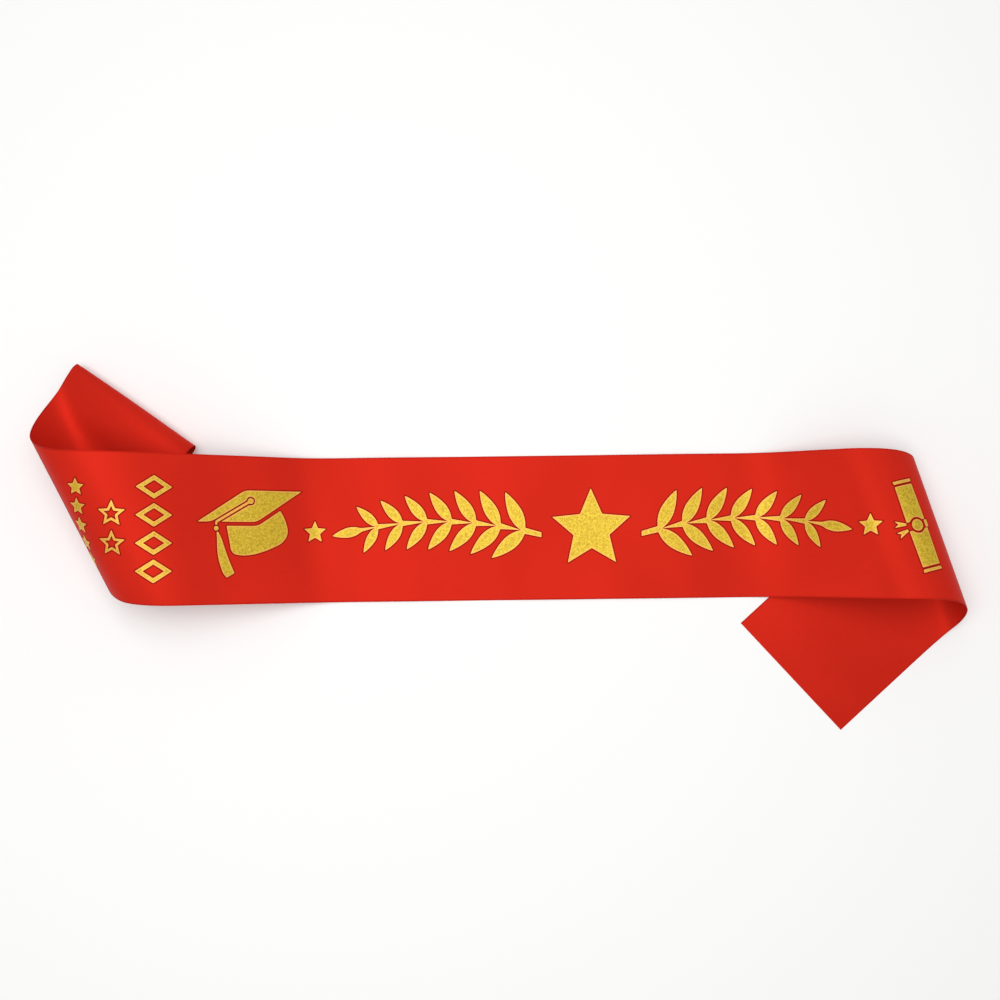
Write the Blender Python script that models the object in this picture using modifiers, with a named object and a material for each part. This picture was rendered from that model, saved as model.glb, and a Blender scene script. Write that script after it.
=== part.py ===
"""Printed satin sash lying loosely rolled on a table, 95 mm wide.

The sash is one flat strip. Its middle lies on the table, each end rises, rolls over and comes back
under the middle. The strip only bends, it never stretches: every bend turns it about straight lines
across the cloth, and those lines slant where the strip turns aside.
Lengths are millimetres on the flat strip. u runs along it to the right from its middle, v across it.
"""
import math

import bmesh
import bpy
import numpy as np
from mathutils import Vector

MM = 0.001

# The strip
RIBBON_WIDTH = 95.0
RIBBON_WALL = 1.0
RIGHT_ROLL_AT = 287.0
LEFT_ROLL_AT = 301.0
TAIL_LENGTH = 158.5
TAIL_CUT_SLANT = 0.012
TURNED_END_LENGTH = 36.0

# The print, a raised transfer with a thin clearance under it
PRINT_WALL = 0.4
PRINT_CLEARANCE = 0.3

# Fineness of the solids
RIBBON_ROWS_ACROSS = 4
ROW_LENGTH = 16.0
ROW_TURN = math.radians(7.0)
PRINT_STRIP = 5.0
LEAST_EDGE = 0.25
WALK_STEP = 1.0

# Bends from the sash's middle outwards. Columns: name; place, from the roll's line outwards, and
# spread, half the bend's length, both in ribbon widths; turn in degrees, upwards positive; slant of
# the bend's lines, the distance outwards for each millimetre towards the top edge.
RIGHT_BENDS = (
    ("lift", -1.17, 0.32, 33.6, -0.04),
    ("crest", -0.58, 0.43, 0.5, -0.39),
    ("roll", 0.00, 0.82, -164.5, -0.29),
    ("level", 0.36, 0.13, -48.8, -0.50),
)
LEFT_BENDS = (
    ("lift", -1.91, 0.32, 28.5, 0.07),
    ("crest", -0.51, 0.49, -75.0, 0.51),
    ("roll", 0.00, 0.54, -85.0, 0.49),
    ("level", 0.27, 0.34, -53.0, 0.83),
    ("turn_under", 0.93, 0.17, 185.0, 0.03),
)
# What settles so that each end lies flat on the table: (bend, column)
RIGHT_SETTLES = (("lift", "turn"), ("roll", "turn"), ("level", "slant"))
LEFT_SETTLES = (("lift", "turn"), ("turn_under", "turn"), ("level", "slant"))

# Mortarboard
CAP_FROM_LEFT_ROLL = 136.0
BOARD_LENGTH = 67.5
BOARD_HEIGHT = 20.2
BOARD_SLANT = 30.0
BOARD_UP = 5.0
BUTTON_RADIUS = 1.9
BUTTON_UP = 13.4
CORD_WIDTH = 1.5
CORD_CHANNEL = 1.0
CORD_FOOT = 22.0
KNOT_RADIUS = 1.5
KNOT_DROP = 4.2
BRUSH_GAP = 0.8
BRUSH_LENGTH = 29.0
BRUSH_SWING = 11.5
BOWL_FROM_TASSEL = 6.6
BOWL_GAP = 2.6
BOWL_LENGTH = 40.0
BOWL_DEPTH = 19.0
BOWL_SHOULDER = 0.87
# Brush of the tassel. Columns: down its length, then its left and right sides from the knot's
# middle, as shares of BRUSH_LENGTH and BRUSH_SWING
BRUSH_SECTIONS = (
    (0.00, 0.02, 0.11),
    (0.13, 0.04, 0.28),
    (0.40, 0.05, 0.50),
    (0.62, 0.13, 0.70),
    (0.90, 0.36, 1.00),
)
BRUSH_TIP = 0.57
# Bowl under the board, from its shoulder round below. Columns: along from its left end and down from
# its rim, as shares of BOWL_LENGTH and BOWL_DEPTH
BOWL_CONTOUR = (
    (0.95, -0.24),
    (1.00, 0.14),
    (0.98, 0.37),
    (0.89, 0.60),
    (0.65, 0.83),
    (0.43, 0.97),
    (0.25, 1.00),
    (0.12, 0.95),
    (0.07, 0.83),
    (0.05, 0.58),
)

# Ornament between the cap and the scroll: a star between two laurel sprays with end stars
ORNAMENT_FROM_CAP = 1.5
ORNAMENT_FROM_SCROLL = 6.0
STAR_RADIUS = 27.0
STAR_WAIST = 0.46
STAR_DROP = 1.5
SPRAY_GAP = 6.0
SPRAY_BOW = 9.6
STEM_WIDTH = 3.2
LEAF_PITCH = 16.0
LEAF_LENGTH = 27.0
LEAF_WIDTH = 9.5
LEAF_ANGLE = math.radians(52.0)
LEAF_SHRINK = 0.38
LEAF_ROOT = 0.3
TIP_LEAF = 0.72
# Bare stem before the first pair of leaves and after the last, in leaf pitches
STEM_FOOT = 0.75
STEM_END = 0.65
SMALL_STAR_RADIUS = 7.5
SMALL_STAR_GAP = 3.5
# Columns: along a leaf and its breadth there, as shares of its length and width
LEAF_SECTIONS = ((0.00, 0.34), (0.18, 0.82), (0.42, 1.00), (0.68, 0.72), (0.88, 0.33))

# Scroll tied with a knot
SCROLL_FROM_RIGHT_ROLL = 16.2
SCROLL_DROP = 1.0
SCROLL_LEAN = math.radians(17.2)
SCROLL_LENGTH = 59.5
SCROLL_WIDTH = 13.0
SCROLL_TAPER = 0.94
SCROLL_BAR = 1.9
SCROLL_BAR_GAP = 1.5
SCROLL_KNOT_RADIUS = 3.8
SCROLL_KNOT_GAP = 1.4
SCROLL_HOLLOW = math.radians(57.0)
SCROLL_TAIL_GAP = 0.4
SCROLL_TAIL_LENGTH = 7.0
SCROLL_TAIL_ROOT = 1.4
SCROLL_TAIL_WIDTH = 4.0
SCROLL_TAIL_NOTCH = 2.2
SCROLL_TAIL_LEAN = math.radians(15.0)
SCROLL_TAB_GAP = 0.5
SCROLL_TAB_RISE = 1.3
SCROLL_TAB_HEIGHT = 2.2

# Columns of small figures left of the cap, from the cap outwards, each centred across the ribbon.
# Columns: figure; gap to its right neighbour; count; gap between figures; length along the ribbon;
# height across it; line width, 0 for a filled figure. Lengths are in ribbon widths.
FIGURE_COLUMNS = (
    ("lozenge", 0.165, 4, 0.029, 0.232, 0.154, 0.027),
    ("star", 0.058, 2, 0.016, 0.179, 0.179, 0.015),
    ("small_star", 0.081, 5, 0.010, 0.121, 0.121, 0.0),
)

RED_SATIN = (0.66, 0.030, 0.014, 1.0)
GOLD_GLITTER = (0.62, 0.42, 0.055, 1.0)


def clear_scene():
    for obj in list(bpy.data.objects):
        bpy.data.objects.remove(obj)


def material(name, colour, roughness, metallic):
    made = bpy.data.materials.new(name)
    made.use_nodes = True
    surface = made.node_tree.nodes["Principled BSDF"]
    surface.inputs["Base Color"].default_value = colour
    surface.inputs["Roughness"].default_value = roughness
    surface.inputs["Metallic"].default_value = metallic
    made.diffuse_color = colour
    return made


class FoldedSide:
    """One half of the strip, bent by its table of bends. sign is 1 for the right, -1 for the left."""

    def __init__(self, sign, bends, settles, roll_at, length):
        self.sign = sign
        self.length = length
        self.bends = [
            {"name": name, "at": roll_at + place * RIBBON_WIDTH, "spread": spread * RIBBON_WIDTH,
             "turn": math.radians(turn), "slant": slant}
            for name, place, spread, turn, slant in bends
        ]
        self.settle(settles)
        self.walk()

    def bend(self, name):
        return next(bend for bend in self.bends if bend["name"] == name)

    def rate(self, u):
        """Turning for each millimetre along the strip: a raised cosine over each bend."""
        total = np.zeros_like(u)
        for bend in self.bends:
            share = np.clip((u - bend["at"]) / bend["spread"], -1.0, 1.0)
            total += bend["turn"] * (1.0 + np.cos(math.pi * share)) / (2.0 * bend["spread"])
        return total

    def slant(self, u):
        """Slant of the bend lines, eased from one bend to the next."""
        places = np.array([0.0] + [bend["at"] for bend in self.bends] + [self.length + RIBBON_WIDTH])
        slants = [bend["slant"] for bend in self.bends]
        slants = np.array([slants[0]] + slants + [slants[-1]])
        index = np.clip(np.searchsorted(places, u) - 1, 0, len(places) - 2)
        start = places[index]
        share = np.clip((u - start) / (places[index + 1] - start), 0.0, 1.0)
        eased = (share + share * share * (3.0 - 2.0 * share)) / 2.0
        return slants[index] + (slants[index + 1] - slants[index]) * eased

    def walk(self):
        """Follow the middle line step by step, turning the cloth's own axes about each bend line."""
        steps = int(math.ceil(self.length / WALK_STEP))
        self.u = np.linspace(0.0, self.length, steps + 1)
        step = self.u[1] - self.u[0]
        between = (self.u[1:] + self.u[:-1]) / 2.0
        axes = np.eye(3)
        place = np.zeros(3)
        all_axes = [axes]
        places = [place]
        for turn, slant in zip(self.rate(between) * step, self.slant(between)):
            x, y = -slant / math.hypot(slant, 1.0), -1.0 / math.hypot(slant, 1.0)
            cross = np.array([[0.0, 0.0, y], [0.0, 0.0, -x], [-y, x, 0.0]])
            half = np.eye(3) + math.sin(turn / 2) * cross + (1 - math.cos(turn / 2)) * cross @ cross
            axes = axes @ half
            place = place + axes[:, 0] * step
            axes = axes @ half
            all_axes.append(axes)
            places.append(place)
        self.axes = np.array(all_axes)
        self.places = np.array(places)

    def settle(self, settles):
        """Newton steps on three values of the table until the end lies flat at the middle's level."""
        def off_flat():
            self.walk()
            tilt = self.axes[-1][2] * RIBBON_WIDTH
            return np.array([tilt[0], tilt[1], self.places[-1][2]])

        nudge = {"turn": math.radians(0.05), "slant": 0.001}
        for _ in range(6):
            before = off_flat()
            slopes = []
            for name, column in settles:
                self.bend(name)[column] += nudge[column]
                slopes.append((off_flat() - before) / nudge[column])
                self.bend(name)[column] -= nudge[column]
            change = np.linalg.solve(np.array(slopes).T, before)
            for (name, column), amount in zip(settles, change):
                self.bend(name)[column] -= amount

    def at(self, u, v, height):
        """Places in space of flat points (u, v), height above the strip's middle layer."""
        line = u.copy()
        for _ in range(40):
            line = u - v * self.slant(line)
        index = np.clip(np.searchsorted(self.u, line) - 1, 0, len(self.u) - 2)
        share = ((line - self.u[index]) / (self.u[index + 1] - self.u[index]))[:, None]
        place = self.places[index] * (1 - share) + self.places[index + 1] * share
        axes = self.axes[index] * (1 - share[:, :, None]) + self.axes[index + 1] * share[:, :, None]
        slant = self.slant(line)
        place = place + (v * slant)[:, None] * axes[:, :, 0] + v[:, None] * axes[:, :, 1]
        place = place + height[:, None] * axes[:, :, 2]
        return place * np.array([self.sign, 1.0, 1.0])


class Strip:
    """The whole strip: both sides, and the rows of its mesh."""

    def __init__(self):
        turn_place = next(place for name, place, *_ in LEFT_BENDS if name == "turn_under")
        self.right_end = RIGHT_ROLL_AT + TAIL_LENGTH
        self.left_end = LEFT_ROLL_AT + turn_place * RIBBON_WIDTH + TURNED_END_LENGTH
        margin = RIBBON_WIDTH / 2
        self.right = FoldedSide(1, RIGHT_BENDS, RIGHT_SETTLES, RIGHT_ROLL_AT, self.right_end + margin)
        self.left = FoldedSide(-1, LEFT_BENDS, LEFT_SETTLES, LEFT_ROLL_AT, self.left_end + margin)

    def at(self, points, height):
        """Places in space of flat points, one row (u, v) each, lifted so that the cloth lies on z = 0."""
        points = np.asarray(points, float)
        heights = np.broadcast_to(np.asarray(height, float), len(points))
        right = points[:, 0] >= 0
        placed = np.empty((len(points), 3))
        placed[right] = self.right.at(points[right, 0], points[right, 1], heights[right])
        placed[~right] = self.left.at(-points[~right, 0], points[~right, 1], heights[~right])
        placed[:, 2] += RIBBON_WALL / 2
        return placed

    def rows(self):
        """Rows of the mesh as (u on the middle line, slant in u for each v), closer where it bends."""
        fine = np.arange(-self.left_end, self.right_end, WALK_STEP)
        bending = np.where(fine >= 0, self.right.rate(np.abs(fine)), self.left.rate(np.abs(fine)))
        effort = np.concatenate([[0.0], np.cumsum(1.0 / ROW_LENGTH + np.abs(bending[:-1]) / ROW_TURN)])
        count = int(math.ceil(effort[-1]))
        places = np.interp(np.linspace(0.0, effort[-1], count + 1), effort, fine)
        places[-1] = self.right_end
        slants = np.where(places >= 0, self.right.slant(np.abs(places)), -self.left.slant(np.abs(places)))
        # the rows turn square to the strip in its flat middle and along its cut ends
        middle = np.clip(np.abs(places) / RIBBON_WIDTH, 0.0, 1.0)
        last_bend = self.right.bend("level")
        tail = np.clip((places - last_bend["at"] - last_bend["spread"]) / (TAIL_LENGTH / 2), 0.0, 1.0)
        hidden = np.clip((self.left_end + places) / (TURNED_END_LENGTH / 2), 0.0, 1.0)
        slants = slants * middle * hidden * (1.0 - tail) + TAIL_CUT_SLANT * tail
        return places, slants


def finish_object(mesh, name, collection, parent, finish):
    """Object with its origin at the middle of its mesh, hung on the sash's empty."""
    obj = bpy.data.objects.new(name, mesh)
    centre = sum((vertex.co for vertex in mesh.vertices), Vector()) / len(mesh.vertices)
    for vertex in mesh.vertices:
        vertex.co -= centre
    obj.location = centre
    obj.parent = parent
    mesh.materials.append(finish)
    collection.objects.link(obj)
    return obj


def make_ribbon(strip, collection, parent, finish):
    """The cloth: a grid laid along the bend lines, bent in space and given its wall."""
    places, slants = strip.rows()
    mesh = bpy.data.meshes.new("satin_ribbon")
    grid = bmesh.new()
    bmesh.ops.create_grid(grid, x_segments=len(places) - 1, y_segments=RIBBON_ROWS_ACROSS, size=1.0)
    index = np.array([round((vert.co.x + 1) / 2 * (len(places) - 1)) for vert in grid.verts])
    v = np.array([vert.co.y for vert in grid.verts]) * RIBBON_WIDTH / 2
    bent = strip.at(np.column_stack([places[index] + v * slants[index], v]), 0.0)
    for vert, place in zip(grid.verts, bent):
        vert.co = Vector(place) * MM
    grid.to_mesh(mesh)
    grid.free()
    ribbon = finish_object(mesh, "satin_ribbon", collection, parent, finish)
    wall = ribbon.modifiers.new("wall", "SOLIDIFY")
    wall.thickness = RIBBON_WALL * MM
    wall.offset = 0.0
    return ribbon


def flat_plate(outlines):
    """Flat solid of an outline, given first, with any holes after it."""
    curve = bpy.data.curves.new("outline", "CURVE")
    curve.dimensions = "2D"
    curve.fill_mode = "BOTH"
    curve.extrude = PRINT_WALL * MM / 2
    for outline in outlines:
        spline = curve.splines.new("POLY")
        spline.points.add(len(outline) - 1)
        for point, (u, v) in zip(spline.points, outline):
            point.co = (u * MM, v * MM, 0.0, 1.0)
        spline.use_cyclic_u = True
    holder = bpy.data.objects.new("outline", curve)
    bpy.context.scene.collection.objects.link(holder)
    graph = bpy.context.evaluated_depsgraph_get()
    mesh = bpy.data.meshes.new_from_object(holder.evaluated_get(graph))
    bpy.data.objects.remove(holder)
    return mesh


def make_print(name, outlines, strip, collection, parent, finish):
    """One island of the print: a flat plate, cut in strips that can bend, laid over the cloth."""
    mesh = flat_plate(outlines)
    plate = bmesh.new()
    plate.from_mesh(mesh)
    bmesh.ops.remove_doubles(plate, verts=plate.verts, dist=0.01 * MM)
    reach = [vert.co.x for vert in plate.verts]
    cuts = int((max(reach) - min(reach)) / (PRINT_STRIP * MM))
    for cut in range(1, cuts + 1):
        across = min(reach) + cut * (max(reach) - min(reach)) / (cuts + 1)
        everything = plate.verts[:] + plate.edges[:] + plate.faces[:]
        bmesh.ops.bisect_plane(
            plate, geom=everything, dist=LEAST_EDGE * MM, plane_co=(across, 0, 0), plane_no=(1, 0, 0)
        )
    bmesh.ops.triangulate(plate, faces=plate.faces[:])
    bmesh.ops.recalc_face_normals(plate, faces=plate.faces[:])
    flat = np.array([vert.co for vert in plate.verts]) / MM
    middle = RIBBON_WALL / 2 + PRINT_CLEARANCE + PRINT_WALL / 2
    for vert, place in zip(plate.verts, strip.at(flat[:, :2], middle + flat[:, 2])):
        vert.co = Vector(place) * MM
    plate.to_mesh(mesh)
    plate.free()
    return finish_object(mesh, name, collection, parent, finish)


def arc(centre, radius, start, end, steps):
    """Points from one heading to another round a centre, both ends included."""
    turns = np.linspace(start, end, steps + 1)
    return [(centre[0] + radius * math.cos(turn), centre[1] + radius * math.sin(turn)) for turn in turns]


def circle(centre, radius, sides=16):
    return arc(centre, radius, 0.0, 2 * math.pi, sides)[:-1]


def star(centre, radius, points=5):
    outline = []
    for corner in range(2 * points):
        reach = radius * (STAR_WAIST if corner % 2 else 1.0)
        turn = math.pi / 2 + math.pi * corner / points
        outline.append((centre[0] + reach * math.cos(turn), centre[1] + reach * math.sin(turn)))
    return outline


def lozenge(centre, length, height):
    u, v = centre
    return [(u + length / 2, v), (u, v + height / 2), (u - length / 2, v), (u, v - height / 2)]


def ringed(outline, centre, line):
    """A figure whose sides all lie equally far from its centre, hollowed to a line of this width."""
    (x1, y1), (x2, y2) = [(x - centre[0], y - centre[1]) for x, y in outline[:2]]
    side_away = abs(x1 * y2 - x2 * y1) / math.hypot(x2 - x1, y2 - y1)
    share = 1.0 - line / side_away
    inner = [(centre[0] + (x - centre[0]) * share, centre[1] + (y - centre[1]) * share) for x, y in outline]
    return [outline, inner]


def turned(points, centre, angle):
    """Points given in a frame of their own, turned and moved to their centre on the strip."""
    c, s = math.cos(angle), math.sin(angle)
    return [(centre[0] + c * x - s * y, centre[1] + s * x + c * y) for x, y in points]


def reach_of(shapes):
    """Least and greatest u of a group of outlines."""
    along = [u for outlines in shapes.values() for outline in outlines for u, v in outline]
    return min(along), max(along)


def cap_outlines():
    """The mortarboard's five islands, as outlines on the strip."""
    middle = CAP_FROM_LEFT_ROLL - LEFT_ROLL_AT
    left = middle - BOARD_LENGTH / 2
    right = middle + BOARD_LENGTH / 2
    base = BOARD_UP
    button = Vector((middle, base + BUTTON_UP))
    foot = Vector((middle - CORD_FOOT, base))
    knot = Vector((foot.x, base - KNOT_DROP))

    # the cord runs in a bare channel, which opens at the board's lower edge and rings the button
    run = (foot - button).normalized()
    side = Vector((-run.y, run.x))
    heading = math.atan2(run.y, run.x)
    reach = CORD_WIDTH / 2 + CORD_CHANNEL
    ring = BUTTON_RADIUS + CORD_CHANNEL
    mouth = math.asin(reach / ring)
    hollow = arc(button, ring, heading - mouth, heading + mouth - 2 * math.pi, 10)

    def at_edge(offset):
        """Where a line beside the cord's middle line meets the board's lower edge."""
        start = button + side * offset
        return (start.x + run.x * (base - start.y) / run.y, base)

    board = [(left, base), at_edge(-reach)] + hollow + [at_edge(reach)]
    top = base + BOARD_HEIGHT
    board += [(right - BOARD_SLANT, base), (right, top), (left + BOARD_SLANT, top)]

    half = CORD_WIDTH / 2
    inner = math.asin(half / BUTTON_RADIUS)
    cord_end = knot.y + KNOT_RADIUS + BRUSH_GAP
    cord = arc(button, BUTTON_RADIUS, heading + inner, heading - inner + 2 * math.pi, 12)
    cord += [tuple(foot - side * half), (foot.x - half, cord_end)]
    cord += [(foot.x + half, cord_end), tuple(foot + side * half)]

    root = knot.y - KNOT_RADIUS - BRUSH_GAP
    left_side = [(knot.x + l * BRUSH_SWING, root - down * BRUSH_LENGTH) for down, l, r in BRUSH_SECTIONS]
    right_side = [(knot.x + r * BRUSH_SWING, root - down * BRUSH_LENGTH) for down, l, r in BRUSH_SECTIONS]
    brush = left_side + [(knot.x + BRUSH_TIP * BRUSH_SWING, root - BRUSH_LENGTH)] + right_side[::-1]

    # the bowl hangs below the board and follows its lower edge and its slanted right side
    rim = base - BOWL_GAP
    start = knot.x + BOWL_FROM_TASSEL
    slope = BOARD_HEIGHT / BOARD_SLANT
    slanted_base = right - BOARD_SLANT + BOWL_GAP * math.hypot(BOARD_SLANT, BOARD_HEIGHT) / BOARD_HEIGHT
    shoulder = start + BOWL_SHOULDER * BOWL_LENGTH
    bowl = [
        (start, rim),
        (slanted_base + (rim - base) / slope, rim),
        (shoulder, base + (shoulder - slanted_base) * slope),
    ]
    bowl += [(start + along * BOWL_LENGTH, rim - down * BOWL_DEPTH) for along, down in BOWL_CONTOUR]
    return {
        "cap_board": [board],
        "cap_bowl": [bowl],
        "tassel_cord": [cord],
        "tassel_knot": [circle(knot, KNOT_RADIUS, 12)],
        "tassel_brush": [brush],
    }


def leaf(base, angle, length, width):
    """Leaf contour from one side of its foot round its tip to the other side."""
    near = [(share * length, -breadth * width / 2) for share, breadth in LEAF_SECTIONS]
    far = [(x, -y) for x, y in reversed(near)]
    return turned(near + [(length, 0.0)] + far, base, angle)


def spray(start, direction, length):
    """Laurel spray beside the star: a bowed stem with pairs of leaves and one leaf at its tip."""
    tip_length = LEAF_LENGTH * TIP_LEAF
    leaved = length - tip_length
    pairs = int(leaved / LEAF_PITCH - STEM_FOOT - STEM_END) + 1
    pitch = leaved / (pairs - 1 + STEM_FOOT + STEM_END)

    def stem(x):
        """Middle of the stem and its heading, x from the spray's foot."""
        share = x / length
        height = SPRAY_BOW * (4 * share * (1 - share) - 0.5)
        return height, math.atan(SPRAY_BOW * 4 * (1 - 2 * share) / length)

    foot = stem(0)[0]
    upper, lower = [(0.0, foot + STEM_WIDTH / 2)], [(0.0, foot - STEM_WIDTH / 2)]
    for pair in range(pairs):
        x = (pair + STEM_FOOT) * pitch
        y, heading = stem(x)
        size = 1.0 - LEAF_SHRINK * pair / pairs
        for side, edge in ((1, upper), (-1, lower)):
            root = (x, y + side * STEM_WIDTH * LEAF_ROOT)
            contour = leaf(root, heading + side * LEAF_ANGLE, LEAF_LENGTH * size, LEAF_WIDTH * size)
            edge += contour[::-1] if side > 0 else contour
    y, heading = stem(leaved)
    tip = leaf((leaved, y), heading, tip_length, LEAF_WIDTH * TIP_LEAF)
    return [(start + direction * x, y) for x, y in lower + tip + upper[::-1]]


def middle_outlines(left, right):
    """The ornament that fills the strip from left to right."""
    centre = (left + right) / 2
    half = (right - left) / 2
    foot = STAR_RADIUS + SPRAY_GAP
    length = half - foot - SMALL_STAR_GAP - 2 * SMALL_STAR_RADIUS
    end = half - SMALL_STAR_RADIUS
    return {
        "centre_star": [star((centre, -STAR_DROP), STAR_RADIUS)],
        "laurel_left": [spray(centre - foot, -1, length)],
        "laurel_right": [spray(centre + foot, 1, length)],
        "end_star_left": [star((centre - end, -STAR_DROP), SMALL_STAR_RADIUS)],
        "end_star_right": [star((centre + end, -STAR_DROP), SMALL_STAR_RADIUS)],
    }


def scroll_outlines():
    """The tied scroll, in a frame with x along its own length, downwards, and y across it."""
    centre = (RIGHT_ROLL_AT - SCROLL_FROM_RIGHT_ROLL, -SCROLL_DROP)
    heading = -math.pi / 2 + SCROLL_LEAN
    half = SCROLL_LENGTH / 2
    wide = SCROLL_WIDTH / 2
    ring = SCROLL_KNOT_RADIUS + SCROLL_KNOT_GAP
    inner = ring * math.cos(SCROLL_HOLLOW)
    body = half - SCROLL_BAR - SCROLL_BAR_GAP

    def half_roll(way):
        """One half of the rolled sheet, its inner end hollowed round the knot."""
        hollow = arc((0.0, 0.0), ring, -SCROLL_HOLLOW, SCROLL_HOLLOW, 6)
        taper = wide * SCROLL_TAPER
        points = [(inner, -wide)] + hollow + [(inner, wide), (body, taper), (body, -taper)]
        return [(way * x, y) for x, y in points]

    def bar(way):
        """The sheet's edge seen past the end of the roll."""
        near, taper = half - SCROLL_BAR, wide * SCROLL_TAPER
        return [(way * x, y) for x, y in ((near, -taper), (half, -wide), (half, wide), (near, taper))]

    def tail(side):
        """Swallow-tailed ribbon end beside the roll, left of the knot."""
        lean = side * SCROLL_TAIL_LEAN
        root, fork = SCROLL_TAIL_ROOT / 2, SCROLL_TAIL_WIDTH / 2
        near = (wide + SCROLL_TAIL_GAP + root * abs(math.sin(lean))) / math.cos(lean)
        far = near + SCROLL_TAIL_LENGTH
        points = [(near, -root), (far, -fork), (far - SCROLL_TAIL_NOTCH, 0.0), (far, fork), (near, root)]
        return turned(points, (0.0, 0.0), -math.pi / 2 + lean)

    tab_half = inner - SCROLL_TAB_GAP
    tab_top = wide + SCROLL_TAB_RISE
    tab_foot = tab_top - SCROLL_TAB_HEIGHT
    tab = [(-tab_half, tab_foot), (tab_half, tab_foot), (tab_half, tab_top), (-tab_half, tab_top)]
    shapes = {
        "scroll_top_bar": bar(-1),
        "scroll_top_roll": half_roll(-1),
        "scroll_knot": circle((0.0, 0.0), SCROLL_KNOT_RADIUS),
        "scroll_upper_tail": tail(-1),
        "scroll_lower_tail": tail(1),
        "scroll_tab": tab,
        "scroll_low_roll": half_roll(1),
        "scroll_low_bar": bar(1),
    }
    return {name: [turned(points, centre, heading)] for name, points in shapes.items()}


def figure_outlines(start):
    """Columns of small figures across the strip, left of start, each counted from the top edge."""
    shapes = {}
    edge = start
    for name, gap, number, gap_across, length, height, line in FIGURE_COLUMNS:
        count = int(number)
        edge -= gap * RIBBON_WIDTH
        length, height = length * RIBBON_WIDTH, height * RIBBON_WIDTH
        pitch = height + gap_across * RIBBON_WIDTH
        for place in range(count):
            centre = (edge - length / 2, ((count - 1) / 2 - place) * pitch)
            outline = lozenge(centre, length, height) if name == "lozenge" else star(centre, height / 2)
            outlines = ringed(outline, centre, line * RIBBON_WIDTH) if line else [outline]
            shapes[f"{name}_{place + 1}"] = outlines
        edge -= length
    return shapes


def stand_on_origin(parent, ribbon):
    """Move the sash so that the middle of its box lies over the origin and the cloth on z = 0."""
    bpy.context.view_layer.update()
    solid = ribbon.evaluated_get(bpy.context.evaluated_depsgraph_get())
    corners = np.array([solid.matrix_world @ Vector(corner) for corner in solid.bound_box])
    middle = (corners.min(axis=0) + corners.max(axis=0)) / 2
    parent.location = (-middle[0], -middle[1], -corners[:, 2].min())


def main():
    clear_scene()
    collection = bpy.data.collections.new("graduation_sash")
    bpy.context.scene.collection.children.link(collection)
    parent = bpy.data.objects.new("graduation_sash", None)
    collection.objects.link(parent)
    red = material("red_satin", RED_SATIN, 0.42, 0.0)
    gold = material("gold_glitter_print", GOLD_GLITTER, 0.38, 0.65)

    strip = Strip()
    ribbon = make_ribbon(strip, collection, parent, red)
    cap = cap_outlines()
    scroll = scroll_outlines()
    cap_left, cap_right = reach_of(cap)
    scroll_left, _ = reach_of(scroll)
    middle = middle_outlines(cap_right + ORNAMENT_FROM_CAP, scroll_left - ORNAMENT_FROM_SCROLL)
    for name, outlines in {**cap, **middle, **scroll, **figure_outlines(cap_left)}.items():
        make_print(name, outlines, strip, collection, parent, gold)
    stand_on_origin(parent, ribbon)


if __name__ == "__main__":
    main()
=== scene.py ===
"""Looks of a printed satin sash that lies loosely rolled on a pale table.

The ribbon is rebuilt finer than its solid, from the same table of bends, with the soft swells of
real cloth. Each island of the gold glitter print is laid on it with its bright rim and the thin edge
of film that holds it. Lengths on the flat strip are millimetres: u runs along it to the right from
its middle, v across it towards its top edge.
"""
import math

import bmesh
import bpy
import numpy as np
from mathutils import Matrix, Vector


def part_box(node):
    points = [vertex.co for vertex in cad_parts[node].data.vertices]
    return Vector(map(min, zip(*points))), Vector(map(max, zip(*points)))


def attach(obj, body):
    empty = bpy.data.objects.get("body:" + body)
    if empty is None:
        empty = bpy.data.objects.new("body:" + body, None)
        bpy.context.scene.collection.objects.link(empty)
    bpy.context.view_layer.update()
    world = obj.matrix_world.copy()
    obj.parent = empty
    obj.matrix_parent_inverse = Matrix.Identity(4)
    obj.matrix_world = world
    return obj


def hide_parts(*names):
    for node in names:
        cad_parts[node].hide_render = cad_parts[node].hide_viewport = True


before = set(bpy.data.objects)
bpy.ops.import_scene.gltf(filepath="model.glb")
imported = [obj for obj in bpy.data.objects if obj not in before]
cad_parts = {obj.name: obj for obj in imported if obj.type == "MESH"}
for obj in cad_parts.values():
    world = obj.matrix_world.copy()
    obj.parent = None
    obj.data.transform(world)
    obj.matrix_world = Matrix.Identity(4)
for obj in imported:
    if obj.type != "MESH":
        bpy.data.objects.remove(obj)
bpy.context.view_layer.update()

MM = 0.001

bl_info = {
    "name": "Graduation Sash Look",
    "version": (1, 0, 0),
    "blender": (4, 5, 0),
    "location": "3D View > Sidebar > Sash",
    "description": "Dresses the solid sash in red satin with gold glitter ornaments",
    "category": "Object",
}

# Shape of the laid strip, as its solids have it
SOLID_WALL = 1.0
RIGHT_ROLL_AT = 287.0
LEFT_ROLL_AT = 301.0
TAIL_LENGTH = 158.5
TAIL_CUT_SLANT = 0.012
TURNED_END_LENGTH = 36.0
WALK_STEP = 1.0

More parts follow.
